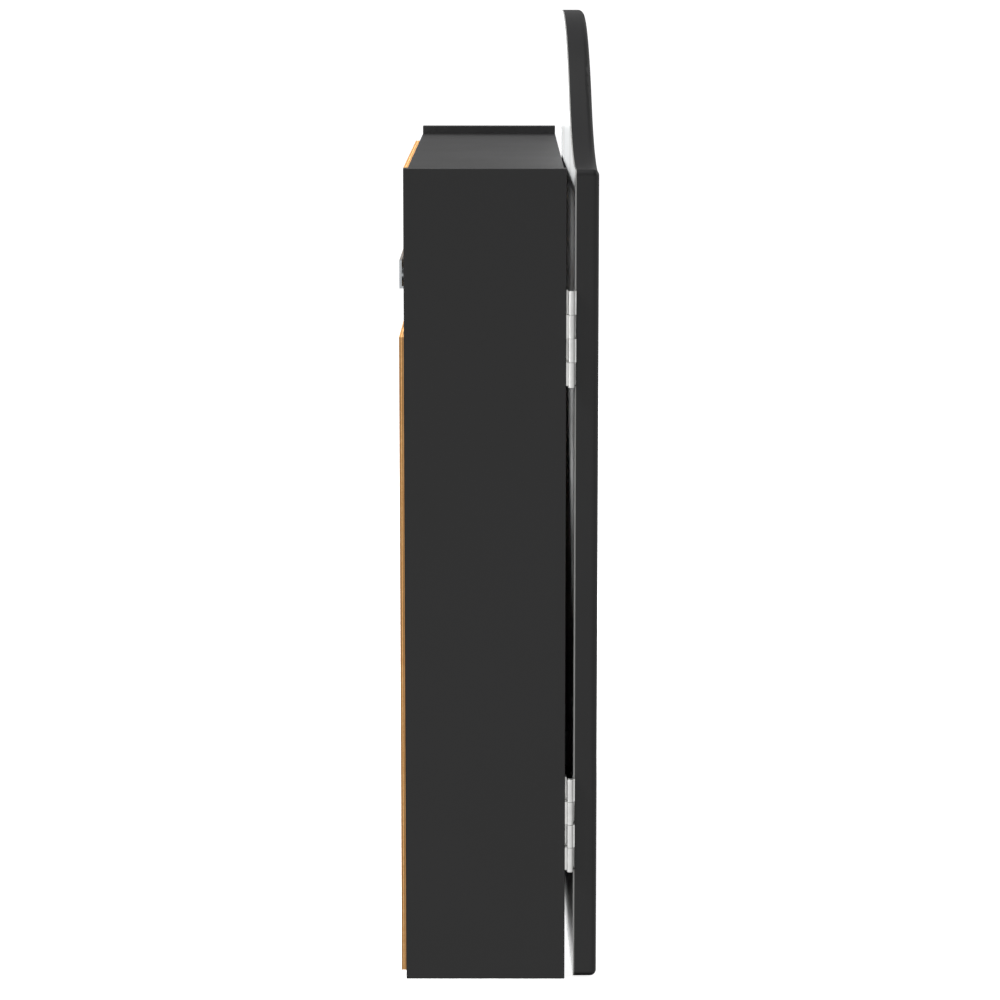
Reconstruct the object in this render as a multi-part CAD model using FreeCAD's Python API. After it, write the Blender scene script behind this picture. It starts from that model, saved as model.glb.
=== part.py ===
"""Wall-hung dart board cabinet: a shallow box with a dart board inside and two crowned doors.

Millimetres. X runs across the cabinet, the doors face -Y and +Z is up. The origin is on the wall
plane, level with the bullseye and midway between the side panels. Left means the -X side.
"""
import FreeCAD, Part
import math
import os

os.makedirs("parts", exist_ok=True)

# ---- dart board
board_diameter = 451.0
board_thickness = 38.0
backing_thickness = 6.0
rim_thickness = 0.8
rim_width = 26.0
bullseye_radius = 6.35
outer_bull_radius = 15.9
treble_outer_radius = 107.0
double_outer_radius = 170.0
scoring_band_width = 8.0
sector_count = 20
wire_width = 0.9
wire_height = 1.4
number_wire_radius = 1.5
clip_count = 4
clip_width = 6.0
clip_thickness = 0.8

# ---- box
side_room = 12.5            # from the board to a side panel
end_room = 21.5             # from the board to the top or bottom panel
panel_thickness = 12.0
side_overrun = 6.0          # the side panels run this far past the top and bottom panels
free_depth = 45.0           # from the board's face to the box's front edges
back_thickness = 3.0
edge_break = 0.5            # rounding of the side panels' long edges

# ---- wall fixing
notch_width = 100.0         # corner cut-outs of the back panel
notch_height = 101.0
batten_width = 40.0
batten_lap = 12.0           # the battens run this far behind the back panel
hanger_length = 84.0
hanger_height = 18.0
hanger_thickness = 1.6
hanger_gap = 1.0            # space between the hanger plate and the wood
hanger_drop = 67.0          # from the box's top to the plate's centre line
slot_inset = 46.8           # puts the two slots 406.4 apart, a usual stud spacing
slot_length = 20.0
slot_width = 5.5
washer_radius = 4.2

# ---- board mounting
rail_height = 90.0
rail_thickness = 12.0
bracket_width = 60.0
bracket_height = 50.0
bracket_thickness = 2.0
bracket_stand = 6.0         # free depth behind the raised plate
bracket_foot = 16.0
hook_shank_radius = 2.5
hook_head_radius = 7.0
hook_head_height = 3.0
hook_play = 0.5             # play of the hook screw in the bracket's slot, and behind the board
hook_embed = 22.0           # depth of the hook screw in the board
pad_radius = 9.0
pad_inset = 27.0            # from the board's edge to a pad's centre

# ---- doors
door_board_thickness = 14.5
sheet_thickness = 0.8
door_foot = 1.2             # the doors' lower edge stands this far above the side panels' feet
shoulder_drop = 0.5         # the shoulders end this far below the side panels' tops
meeting_gap = 2.0
hinge_gap = 5.5             # door to box beside the hinges
closed_gap = 1.0            # door to box where the doors meet
crown_rise = 95.5
shoulder_flat = 10.0
concave_share = 0.43        # share of the crown's curve that is hollow
front_round = 4.0
corner_round = 4.0

# ---- hinges
hinge_length = 61.0
hinge_top_inset = 107.7
hinge_bottom_inset = 104.5
axis_outset = 2.0           # the pin stands this far outside the side panel
box_barrel_room = 1.2       # from the barrel to the box
door_barrel_room = 0.9      # from the barrel to the door's board
pin_radius = 1.1
pin_play = 0.05
knuckle_count = 4
knuckle_gap = 0.3
leaf_thickness = 1.2
leaf_reach = 10.0           # width of leaf on the wood
leaf_neck = 0.7             # the leaves' straight edges stand back from the wood's edge by this
leaf_proud = 0.4            # the door leaf stands out of the white sheet by this
leaf_notch = 2.2            # a leaf is cut back by this beside the other leaf's knuckles
pin_tip_height = 1.6        # rounded tip under the lowest knuckle
hinge_screw_pitch = 21.0

# ---- catches and racks
catch_length = 84.0
catch_depth = 18.0
catch_height = 13.0
catch_screw_inset = 5.0      # from the case's ends and rear
magnet_length = 22.0
magnet_depth = 9.0
magnet_height = 7.0
magnet_centre = 25.0        # from the cabinet's middle
strike_length = 24.0
strike_height = 11.0
strike_thickness = 0.8
rack_length = 96.0
rack_room = 20.5            # from the rack to the board's face
rack_height = 24.0
rack_wall = 3.0
rack_shelf = 4.0
rack_level = -118.0         # height of the shelf's top
rack_slot_width = 8.0
rack_slot_land = 12.0       # solid shelf behind the slots
rack_slot_pitch = 30.0
rack_slot_count = 3

# ---- fasteners
dowel_radius = 3.0
dowel_length = 30.0
dowel_side_depth = 8.0
dowel_inset = 22.0          # from the box's front and rear edges
nail_radius = 0.7
nail_length = 16.0
nail_head_radius = 1.6
nail_head_height = 0.5
nail_spacing = 90.0
fit_gap = 0.05              # between a fastener and its hole
recess_width = 0.7          # arms of a screw's cross recess
recess_reach = 0.55         # share of the head's radius that the arms cover
recess_depth = 0.6          # share of the head's height that the recess takes

# head radius, head height, shank radius, length of the countersunk screws
hinge_screw = (2.5, 1.2, 1.25, 12.0)
hanger_screw = (3.2, 1.6, 1.7, 14.0)
bracket_screw = (3.2, 1.6, 1.7, 11.0)
catch_screw = (2.9, 1.5, 1.5, 18.0)
strike_screw = (2.0, 0.8, 1.0, 9.0)
rack_screw = (3.0, 1.6, 1.5, 13.0)

# ---- modelling
overcut = 1.0               # cutting shapes run this far past the faces they open
tolerance = 1e-3

# ---- values that follow
board_radius = board_diameter / 2
inner_half_width = board_radius + side_room
half_width = inner_half_width + panel_thickness
inner_half_height = board_radius + end_room
panel_top = inner_half_height + panel_thickness
half_height = panel_top + side_overrun
rear = -back_thickness
rail_front = rear - rail_thickness
board_back = rail_front - bracket_stand - bracket_thickness - hook_play
board_front = board_back - board_thickness
sisal_back = board_back - backing_thickness
sisal_radius = board_radius - rim_thickness
front = board_front - free_depth
barrel_radius = (hinge_gap + sheet_thickness - box_barrel_room - door_barrel_room) / 2
hinge_x = -half_width - axis_outset
hinge_y = front - box_barrel_room - barrel_radius
door_width = half_width - meeting_gap / 2
door_face = front - hinge_gap
tilt = math.degrees(math.asin((hinge_gap - closed_gap) / door_width))
hinge_levels = {"upper": half_height - hinge_top_inset, "lower": hinge_bottom_inset - half_height}
hanger_level = half_height - hanger_drop
rack_reach = free_depth + hinge_gap - rack_room
rack_slot_depth = rack_reach - rack_slot_land

vector = FreeCAD.Vector
origin = vector(0, 0, 0)
up = vector(0, 0, 1)
to_front = vector(0, -1, 0)
to_rear = vector(0, 1, 0)


def block(x0, x1, y0, y1, z0, z1):
    """A box between two values on each axis, given in either order."""
    low = vector(min(x0, x1), min(y0, y1), min(z0, z1))
    return Part.makeBox(abs(x1 - x0), abs(y1 - y0), abs(z1 - z0), low)


def rod(radius, length, start, direction):
    return Part.makeCylinder(radius, length, start, direction)


def disc(radius, y0, y1):
    """A disc about the bullseye's axis, from y0 forward to y1."""
    return rod(radius, y0 - y1, vector(0, y0, 0), to_front)


def ring(inner, outer, y0, y1):
    return disc(outer, y0, y1).cut(disc(inner, y0 + overcut, y1 - overcut))


def joined(shapes):
    """One solid out of several that meet or overlap."""
    return shapes[0].multiFuse(shapes[1:]).removeSplitter()


def cut_all(shape, tools):
    return shape.cut(Part.makeCompound(tools)) if tools else shape


def mirrored(shape):
    return shape.mirror(origin, vector(1, 0, 0))


def stood(shape, place, direction):
    """Turn a shape made along +Z to a direction and move it to a place."""
    turned = shape.copy()
    turned.Placement = FreeCAD.Placement(place, FreeCAD.Rotation(up, direction))
    return turned


def screw(size, place, direction):
    """A countersunk screw whose flat head lies at the place and faces the direction."""
    head_radius, head_height, shank_radius, length = size
    head = Part.makeCone(shank_radius, head_radius, head_height, vector(0, 0, -head_height))
    shank = rod(shank_radius, length - head_height, vector(0, 0, -length), up)
    body = head.fuse(shank)
    arm = head_radius * recess_reach
    depth = head_height * recess_depth
    half = recess_width / 2
    arms = [block(-arm, arm, -half, half, -depth, overcut), block(-half, half, -arm, arm, -depth, overcut)]
    return stood(cut_all(body, arms).removeSplitter(), place, direction)


def screw_hole(size, place, direction):
    """The room a screw needs: its own shape with the fit gap all round."""
    head_radius, head_height, shank_radius, length = size
    wide = head_radius + fit_gap
    narrow = shank_radius + fit_gap
    head = Part.makeCone(narrow, wide, head_height, vector(0, 0, -head_height))
    mouth = rod(wide, overcut, origin, up)
    shank = rod(narrow, length + fit_gap, vector(0, 0, -length - fit_gap), up)
    return stood(head.multiFuse([mouth, shank]), place, direction)


def slot_cut(length, width, depth, place):
    """A slot with round ends along X, cut forward from a place on its rear face."""
    radius = width / 2
    reach = length / 2 - radius
    middle = block(-reach, reach, 0, -depth, -radius, radius)
    ends = [rod(radius, depth, vector(side * reach, 0, 0), to_front) for side in (-1, 1)]
    shape = middle.multiFuse(ends)
    shape.translate(place)
    return shape


def spread(low, high, most):
    """Evenly spaced values from low to high, no further apart than most."""
    steps = max(1, math.ceil((high - low) / most))
    return [low + (high - low) * step / steps for step in range(steps + 1)]


# ---- places of the fasteners
def dowel_places():
    """Centre of each dowel at the left side panel's inner face, as (y, z)."""
    panel_middle = inner_half_height + panel_thickness / 2
    depths = (front + dowel_inset, rear - dowel_inset)
    ends = [(y, z) for y in depths for z in (-panel_middle, panel_middle)]
    rail_middle = rear - rail_thickness / 2
    return ends + [(rail_middle, side * rail_height / 4) for side in (-1, 1)]


def left_dowels(gap):
    start = -inner_half_width - dowel_side_depth - gap
    length = dowel_length + 2 * gap
    return [rod(dowel_radius + gap, length, vector(start, y, z), vector(1, 0, 0)) for y, z in dowel_places()]


def nail_places():
    """Nails along the back panel's edges, as (x, z)."""
    side_x = half_width - panel_thickness / 2
    panel_z = inner_half_height + panel_thickness / 2
    notch_foot = panel_top - notch_height
    upright = spread(-panel_z + nail_spacing / 2, notch_foot - panel_thickness, nail_spacing)
    lower = spread(-side_x + nail_spacing / 2, side_x - nail_spacing / 2, nail_spacing)
    inner = half_width - notch_width - panel_thickness
    upper = spread(-inner, inner, nail_spacing)
    batten_x = inner + panel_thickness - batten_lap / 2
    batten = spread(notch_foot + batten_lap, inner_half_height - batten_lap, nail_spacing)
    places = [(side * side_x, z) for side in (-1, 1) for z in upright]
    places += [(side * batten_x, z) for side in (-1, 1) for z in batten]
    return places + [(x, -panel_z) for x in lower] + [(x, panel_z) for x in upper]


def nail(x, z, gap=0.0):
    shank = rod(nail_radius + gap, nail_length + gap, vector(x, 0, z), to_front)
    return shank.fuse(rod(nail_head_radius + gap, nail_head_height, vector(x, 0, z), to_front))


def nails(gap=0.0):
    return [nail(x, z, gap) for x, z in nail_places()]


def hanger_screw_places():
    """Screw heads on the left hanger plate's rear face."""
    face = rear + hanger_gap + hanger_thickness
    inner = -half_width + hanger_length - panel_thickness / 2
    return [vector(x, face, hanger_level) for x in (-half_width + panel_thickness / 2, inner)]


def hanger_holes():
    return [screw_hole(hanger_screw, place, to_rear) for place in hanger_screw_places()]


def catch_screw_places(level):
    """Screw heads on a catch body: level is +1 at the top panel and -1 at the bottom panel."""
    x = catch_length / 2 - catch_screw_inset
    y = front + catch_depth - catch_screw_inset
    z = level * (inner_half_height - catch_height)
    return [vector(side * x, y, z) for side in (-1, 1)]


def catch_holes(level):
    return [screw_hole(catch_screw, place, up * -level) for place in catch_screw_places(level)]


def bracket_screw_places():
    """Screw heads on the bracket's feet."""
    x = bracket_width / 2 - bracket_foot / 2
    z = bracket_height / 2 - bracket_foot / 2
    face = rail_front - bracket_thickness
    return [vector(i * x, face, j * z) for i in (-1, 1) for j in (-1, 1)]


def bracket_holes():
    return [screw_hole(bracket_screw, place, to_front) for place in bracket_screw_places()]


def hinge_screw_levels():
    return [level + step * hinge_screw_pitch for level in hinge_levels.values() for step in (-1, 0, 1)]


def box_hinge_screw_places():
    x = -half_width + panel_thickness / 2
    return [vector(x, front - leaf_thickness, z) for z in hinge_screw_levels()]


def door_hinge_screw_places():
    x = -half_width + panel_thickness / 2
    return [vector(x, door_face + leaf_proud, z) for z in hinge_screw_levels()]


# ---- box
def side_panel():
    panel = block(-half_width, -inner_half_width, rear, front, -half_height, half_height)
    long_edges = [edge for edge in panel.Edges if edge.Length > rear - front + tolerance]
    panel = panel.makeFillet(edge_break, long_edges)
    tools = left_dowels(fit_gap) + nails(fit_gap) + hanger_holes()
    tools += [screw_hole(hinge_screw, place, to_front) for place in box_hinge_screw_places()]
    return cut_all(panel, tools)


def end_panel(level):
    """The top panel at level +1, the bottom panel at level -1."""
    near = level * inner_half_height
    far = level * panel_top
    panel = block(-inner_half_width, inner_half_width, rear, front, near, far)
    dowels = left_dowels(fit_gap)
    tools = dowels + [mirrored(dowel) for dowel in dowels] + nails(fit_gap) + catch_holes(level)
    return cut_all(panel, tools)


def back_panel():
    sheet = block(-half_width, half_width, 0, rear, -panel_top, panel_top)
    low = panel_top - notch_height
    inner = notch_width - half_width
    notch = block(-half_width - overcut, inner, overcut, rear - overcut, low, panel_top + overcut)
    return cut_all(sheet, [notch, mirrored(notch)] + nails(fit_gap))


def hanger_batten():
    """Upright batten that takes a hanger's inner screw and backs the edge of the back panel's cut-out."""
    inner = -half_width + notch_width + batten_lap
    lower = panel_top - notch_height - batten_lap
    body = block(inner - batten_width, inner, rear, rail_front, lower, inner_half_height)
    return cut_all(body, hanger_holes() + nails(fit_gap))


def hanger():
    """Steel plate with a slot for the wall screw and a lip that rests against the wood."""
    inner = -half_width + hanger_length
    low = hanger_level - hanger_height / 2
    high = low + hanger_height
    plate_front = rear + hanger_gap
    plate = block(-half_width, inner, plate_front, plate_front + hanger_thickness, low, high)
    lip = block(-half_width, inner, rear, plate_front, low, low + hanger_thickness)
    place = vector(slot_inset - half_width, 0, hanger_level)
    slot = slot_cut(slot_length, slot_width, back_thickness, place)
    return cut_all(joined([plate, lip]), [slot] + hanger_holes())


def hanger_washers():
    """Spacing washers that keep a hanger plate off the wood."""
    places = hanger_screw_places()
    discs = [rod(washer_radius, hanger_gap, vector(place.x, rear, place.z), to_rear) for place in places]
    return Part.makeCompound([cut_all(washer, hanger_holes()) for washer in discs])


def mounting_rail():
    """The board across the back that carries the dart board's bracket."""
    half = rail_height / 2
    rail = block(-inner_half_width, inner_half_width, rear, rail_front, -half, half)
    dowels = left_dowels(fit_gap)
    return cut_all(rail, dowels + [mirrored(dowel) for dowel in dowels] + bracket_holes())


# ---- board mounting
def board_bracket():
    """Raised steel plate on two feet, with a slot open at the top for the board's hook screw."""
    half = bracket_width / 2
    tall = bracket_height / 2
    foot_inner = half - bracket_foot
    raised = rail_front - bracket_stand
    face = raised - bracket_thickness
    wall_inner = foot_inner - bracket_thickness
    foot_face = rail_front - bracket_thickness
    pieces = [block(-foot_inner, foot_inner, raised, face, -tall, tall)]
    for side in (-1, 1):
        pieces.append(block(side * foot_inner, side * half, rail_front, foot_face, -tall, tall))
        pieces.append(block(side * wall_inner, side * foot_inner, rail_front, face, -tall, tall))
    radius = hook_shank_radius + hook_play
    slot = block(-radius, radius, raised + overcut, face - overcut, 0, tall + overcut)
    seat = rod(radius, bracket_thickness + 2 * overcut, vector(0, raised + overcut, 0), to_front)
    return cut_all(joined(pieces), [slot, seat] + bracket_holes())


def hook_screw(gap=0.0):
    """The screw in the middle of the board's back, hanging in the bracket."""
    head_front = rail_front - bracket_stand + hook_play
    head = rod(hook_head_radius, hook_head_height, vector(0, head_front, 0), to_rear)
    length = head_front - board_back + hook_embed
    shank = rod(hook_shank_radius + gap, length + gap, vector(0, head_front, 0), to_front)
    return head.fuse(shank).removeSplitter()


def board_pads():
    """Rubber pads between the board's back and the mounting rail."""
    x = board_radius - pad_inset
    depth = rail_front - board_back
    places = [vector(side * x, rail_front, 0) for side in (-1, 1)]
    return Part.makeCompound([rod(pad_radius, depth, place, to_front) for place in places])


# ---- dart board
def board_backing():
    return disc(sisal_radius, board_back, sisal_back).cut(hook_screw(fit_gap))


def sisal_face():
    plug_depth = sisal_back - hook_embed
    face = disc(sisal_radius, sisal_back, board_front)
    well = disc(outer_bull_radius, plug_depth, board_front - overcut)
    return cut_all(face, [well, hook_screw(fit_gap)])


def outer_bull():
    return ring(bullseye_radius, outer_bull_radius, sisal_back - hook_embed, board_front)


def bullseye():
    return disc(bullseye_radius, sisal_back - hook_embed, board_front)


def board_rim():
    """Steel band round the board, narrower than the board is thick."""
    margin = (board_thickness - rim_width) / 2
    return ring(sisal_radius, board_radius, board_back - margin, board_front + margin)


def wire_ring(radius):
    return ring(radius - wire_width / 2, radius + wire_width / 2, board_front, board_front - wire_height)


def spider():
    """The wire frame over the face: six rings and a blade between each pair of sectors."""
    radii = [bullseye_radius, outer_bull_radius]
    for outer in (treble_outer_radius, double_outer_radius):
        radii += [outer - scoring_band_width, outer]
    half = wire_width / 2
    blade = block(outer_bull_radius, double_outer_radius, board_front, board_front - wire_height, -half, half)
    blades = []
    for sector in range(sector_count):
        turned = blade.copy()
        turned.rotate(origin, to_rear, (sector + 0.5) * 360 / sector_count)
        blades.append(turned)
    inner = wire_ring(radii[0])
    return Part.makeCompound([inner, joined([wire_ring(radius) for radius in radii[1:]] + blades)])


def number_ring_radius():
    return (double_outer_radius + sisal_radius) / 2


def number_ring():
    """The round wire that carries the numbers."""
    place = vector(0, board_front - number_wire_radius, 0)
    return Part.makeTorus(number_ring_radius(), number_wire_radius, place, to_front)


def number_clips():
    """Spring clips that hold the number ring on the board's face."""
    reach = 2 * clip_width
    stand = 2 * number_wire_radius
    radius = number_ring_radius()
    bridge = block(radius - reach, radius + reach, board_front - stand, board_front - stand - clip_thickness,
                   -clip_width / 2, clip_width / 2)
    foot = block(radius + reach - clip_thickness, radius + reach, board_front, board_front - stand,
                 -clip_width / 2, clip_width / 2)
    heel = block(radius - reach, radius - reach + clip_thickness, board_front, board_front - stand,
                 -clip_width / 2, clip_width / 2)
    clip = joined([bridge, foot, heel])
    clips = []
    for number in range(clip_count):
        turned = clip.copy()
        turned.rotate(origin, to_rear, (number + 0.5) * 360 / clip_count)
        clips.append(turned)
    return Part.makeCompound(clips)


# ---- hinges
def knuckle_span(number, level):
    """Lowest and highest point of a knuckle, counted from the top."""
    pitch = hinge_length / knuckle_count
    high = level + hinge_length / 2 - number * pitch
    return high - pitch + knuckle_gap / 2, high - knuckle_gap / 2


def knuckles(numbers, level, neck_rear, neck_front):
    """Barrel sections with the necks that join them to their leaf."""
    pieces = []
    straight_edge = -half_width + leaf_neck
    for number in numbers:
        low, high = knuckle_span(number, level)
        pieces.append(rod(barrel_radius, high - low, vector(hinge_x, hinge_y, low), up))
        pieces.append(block(hinge_x, straight_edge, neck_rear, neck_front, low, high))
    return pieces


def leaf_plate(numbers, level, plate_rear, plate_front):
    """The flat part of a leaf, cut back where the other leaf has its knuckles."""
    half = hinge_length / 2
    straight_edge = -half_width + leaf_neck
    start = straight_edge - overcut
    cut_edge = straight_edge + leaf_notch
    end = -half_width + leaf_reach
    plate = block(straight_edge, end, plate_rear, plate_front, level - half, level + half)
    notches = []
    for number in range(knuckle_count):
        if number not in numbers:
            low, high = knuckle_span(number, level)
            low -= knuckle_gap / 2
            high += knuckle_gap / 2
            notches.append(block(start, cut_edge, plate_rear + overcut, plate_front - overcut, low, high))
    return cut_all(plate, notches)


def leaf(numbers, level, plate_rear, plate_front, neck_rear, neck_front, screw_places, facing):
    half = hinge_length / 2
    plate = leaf_plate(numbers, level, plate_rear, plate_front)
    whole = joined([plate] + knuckles(numbers, level, neck_rear, neck_front))
    foot = vector(hinge_x, hinge_y, level - half - overcut)
    bore = rod(pin_radius + pin_play, hinge_length + 2 * overcut, foot, up)
    near = [place for place in screw_places if abs(place.z - level) < half]
    return cut_all(whole, [bore] + [screw_hole(hinge_screw, place, facing) for place in near])


def box_leaf(level):
    """The leaf on the side panel's front edge, with the second and fourth knuckles."""
    neck_front = hinge_y + pin_radius
    places = box_hinge_screw_places()
    return leaf((1, 3), level, front, front - leaf_thickness, front, neck_front, places, to_front)


def door_leaf(level):
    """The leaf let into the white sheet, with the first and third knuckles."""
    plate_rear = door_face + leaf_proud
    plate_front = plate_rear - leaf_thickness
    neck_rear = hinge_y - pin_radius
    places = door_hinge_screw_places()
    return closed(leaf((0, 2), level, plate_rear, plate_front, neck_rear, plate_front, places, to_rear))


def hinge_pin(level):
    """A pin that ends level with the top knuckle and has a rounded tip under the lowest one."""
    foot = level - hinge_length / 2
    tip_top = foot + knuckle_gap / 2
    tip_foot = vector(hinge_x, hinge_y, tip_top - pin_tip_height)
    tip = rod(barrel_radius, pin_tip_height, tip_foot, up)
    rim = [edge for edge in tip.Edges if abs(edge.CenterOfMass.z - tip_foot.z) < tolerance]
    tip = tip.makeFillet(pin_tip_height / 2, rim)
    return tip.fuse(rod(pin_radius, hinge_length, vector(hinge_x, hinge_y, foot), up)).removeSplitter()


# ---- doors, made square to the box and then turned shut about the hinge pins
def closed(shape):
    turned = shape.copy()
    turned.rotate(vector(hinge_x, hinge_y, 0), up, tilt)
    return turned


def crown_point(centre, radius, angle):
    return vector(centre.x + radius * math.sin(angle), 0, centre.z + radius * math.cos(angle))


def door_outline():
    """The left door seen from the front, as a closed wire at y = 0."""
    hinge_edge = -half_width
    meeting_edge = -meeting_gap / 2
    foot = door_foot - half_height
    shoulder = half_height - shoulder_drop
    run = half_width - shoulder_flat
    turn = 2 * math.atan(crown_rise / run)
    radii_sum = run / math.sin(turn)
    hollow_radius = concave_share * radii_sum
    full_radius = radii_sum - hollow_radius
    hollow = vector(hinge_edge + shoulder_flat, 0, shoulder + hollow_radius)
    full = vector(0, 0, shoulder + crown_rise - full_radius)
    join = crown_point(full, full_radius, -turn)
    hollow_middle = crown_point(hollow, -hollow_radius, -turn / 2)
    peak_angle = -math.asin(meeting_gap / 2 / full_radius)
    peak = crown_point(full, full_radius, peak_angle)
    full_middle = crown_point(full, full_radius, (peak_angle - turn) / 2)
    start = vector(hinge_edge + shoulder_flat, 0, shoulder)
    edges = [
        Part.LineSegment(vector(meeting_edge, 0, foot), vector(hinge_edge, 0, foot)),
        Part.LineSegment(vector(hinge_edge, 0, foot), vector(hinge_edge, 0, shoulder)),
        Part.LineSegment(vector(hinge_edge, 0, shoulder), start),
        Part.Arc(start, hollow_middle, join),
        Part.Arc(join, full_middle, peak),
        Part.LineSegment(peak, vector(meeting_edge, 0, foot)),
    ]
    return Part.Wire([edge.toShape() for edge in edges])


def door_slab(rear_face, thickness):
    """The door's outline given thickness forward from a face, with rounded corners."""
    slab = Part.Face(door_outline()).extrude(to_front * thickness)
    slab.translate(vector(0, rear_face, 0))
    across = [edge for edge in slab.Edges if abs(edge.Length - thickness) < tolerance]
    return slab.makeFillet(corner_round, [edge for edge in across if is_door_corner(edge)])


def is_door_corner(edge):
    """Does this edge stand on the door's hinge edge or on its meeting edge?"""
    x = edge.Vertexes[0].X
    return abs(x + half_width) < tolerance or abs(x + meeting_gap / 2) < tolerance


def lies_at(edge, y):
    """Do both ends of this edge lie in the plane at y?"""
    return all(abs(vertex.Y - y) < tolerance for vertex in edge.Vertexes)


def door_panel():
    back = door_face - sheet_thickness
    slab = door_slab(back, door_board_thickness)
    face = back - door_board_thickness
    rim = [edge for edge in slab.Edges if lies_at(edge, face)]
    slab = slab.makeFillet(front_round, rim)
    return closed(cut_all(slab, door_screw_holes()))


def whiteboard():
    """The dry-wipe sheet over the door's whole inner face, cut away round the hinge leaves."""
    sheet = door_slab(door_face, sheet_thickness)
    start = -half_width - overcut
    end = -half_width + leaf_reach + fit_gap
    rear_face = door_face + overcut
    front_face = door_face - sheet_thickness
    half = hinge_length / 2 + fit_gap
    levels = hinge_levels.values()
    cuts = [block(start, end, rear_face, front_face, level - half, level + half) for level in levels]
    return closed(cut_all(sheet, cuts + door_screw_holes()))


def door_screw_holes():
    holes = [screw_hole(hinge_screw, place, to_rear) for place in door_hinge_screw_places()]
    holes += [screw_hole(strike_screw, place, to_rear) for place in strike_places()]
    return holes + [screw_hole(rack_screw, place, to_rear) for place in rack_screw_places()]


# ---- catches
def catch_body(level):
    """Plastic case under the top panel (+1) or on the bottom panel (-1), open to the front."""
    near = level * inner_half_height
    far = level * (inner_half_height - catch_height)
    case = block(-catch_length / 2, catch_length / 2, front + catch_depth, front, near, far)
    pockets = [magnet(side * magnet_centre, level, fit_gap) for side in (-1, 1)]
    return cut_all(case, pockets + catch_holes(level))


def magnet(x, level, gap=0.0):
    z = level * (inner_half_height - catch_height / 2)
    half = magnet_length / 2 + gap
    tall = magnet_height / 2 + gap
    return block(x - half, x + half, front + magnet_depth + gap, front, z - tall, z + tall)


def catch_magnets():
    sides = [side * magnet_centre for side in (-1, 1)]
    return Part.makeCompound([magnet(x, level) for x in sides for level in (-1, 1)])


def strike_levels():
    level = inner_half_height - catch_height / 2
    return (-level, level)


def strike_places():
    """Screw heads on the left door's strike plates."""
    return [vector(-magnet_centre, door_face + strike_thickness, z) for z in strike_levels()]


def strike_plates():
    half = strike_length / 2
    tall = strike_height / 2
    plates = []
    for place in strike_places():
        plate = block(place.x - half, place.x + half, place.y, door_face, place.z - tall, place.z + tall)
        plates.append(plate.cut(screw_hole(strike_screw, place, to_rear)))
    return closed(Part.makeCompound(plates))


# ---- dart racks
def rack_centre():
    return -half_width / 2


def rack_screw_places():
    x = (rack_slot_count - 1) * rack_slot_pitch / 2 + rack_slot_width / 2 + rack_screw[0]
    z = rack_level - rack_height + 2 * rack_screw[0]
    return [vector(rack_centre() + side * x, door_face + rack_wall, z) for side in (-1, 1)]


def dart_rack():
    """Moulded shelf with slots open at the front, on a flange screwed to the door."""
    half = rack_length / 2
    centre = rack_centre()
    outer = door_face + rack_reach
    foot = rack_level - rack_height
    flange = block(centre - half, centre + half, door_face, door_face + rack_wall, foot, rack_level)
    shelf = block(centre - half, centre + half, door_face, outer, rack_level - rack_shelf, rack_level)
    body = joined([flange, shelf])
    uprights = [edge for edge in body.Edges if abs(edge.Length - rack_shelf) < tolerance]
    body = body.makeFillet(rack_shelf, [edge for edge in uprights if lies_at(edge, outer)])
    middle = (rack_slot_count - 1) / 2
    places = [centre + (number - middle) * rack_slot_pitch for number in range(rack_slot_count)]
    holes = [screw_hole(rack_screw, place, to_rear) for place in rack_screw_places()]
    return closed(cut_all(body, [rack_slot(x, outer) for x in places] + holes))


def rack_slot(x, outer):
    """A slot open at the shelf's outer edge, with a round end."""
    radius = rack_slot_width / 2
    end = outer - rack_slot_depth + radius
    low = rack_level - rack_shelf - overcut
    high = rack_level + overcut
    straight = block(x - radius, x + radius, end, outer + overcut, low, high)
    return straight.fuse(rod(radius, high - low, vector(x, end, low), up))


# ---- output
def save(name, shape):
    shape.exportStep("parts/" + name + ".step")


def save_pair(name, left_shape):
    save(name + "_left", left_shape)
    save(name + "_right", mirrored(left_shape))


def both_sides(solids):
    """A compound of left-hand solids and their mirror images."""
    return Part.makeCompound(solids + [mirrored(solid) for solid in solids])


def screws(size, places, direction):
    return [screw(size, place, direction) for place in places]


def closed_screws(size, places):
    """Screws in the left door, turned shut with it."""
    return closed(Part.makeCompound(screws(size, places, to_rear)))


def save_box():
    save_pair("side_panel", side_panel())
    save("top_panel", end_panel(1))
    save("bottom_panel", end_panel(-1))
    save("back_panel", back_panel())
    save_pair("hanger_batten", hanger_batten())
    save_pair("hanger_plate", hanger())
    save("hanger_washers", both_sides([hanger_washers()]))
    save("hanger_screws", both_sides(screws(hanger_screw, hanger_screw_places(), to_rear)))
    save("panel_dowels", both_sides(left_dowels(0)))
    save("back_panel_nails", Part.makeCompound(nails()))
    save("mounting_rail", mounting_rail())


def save_board():
    save("board_bracket", board_bracket())
    save("bracket_screws", Part.makeCompound(screws(bracket_screw, bracket_screw_places(), to_front)))
    save("board_hook_screw", hook_screw())
    save("board_pads", board_pads())
    save("board_backing", board_backing())
    save("sisal_face", sisal_face())
    save("outer_bull", outer_bull())
    save("bullseye", bullseye())
    save("board_rim", board_rim())
    save("spider", spider())
    save("number_ring", number_ring())
    save("number_clips", number_clips())


def save_catches():
    save("catch_body_top", catch_body(1))
    save("catch_body_bottom", catch_body(-1))
    save("catch_magnets", catch_magnets())
    lower = screws(catch_screw, catch_screw_places(-1), up)
    upper = screws(catch_screw, catch_screw_places(1), up * -1)
    save("catch_screws", Part.makeCompound(lower + upper))


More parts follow.
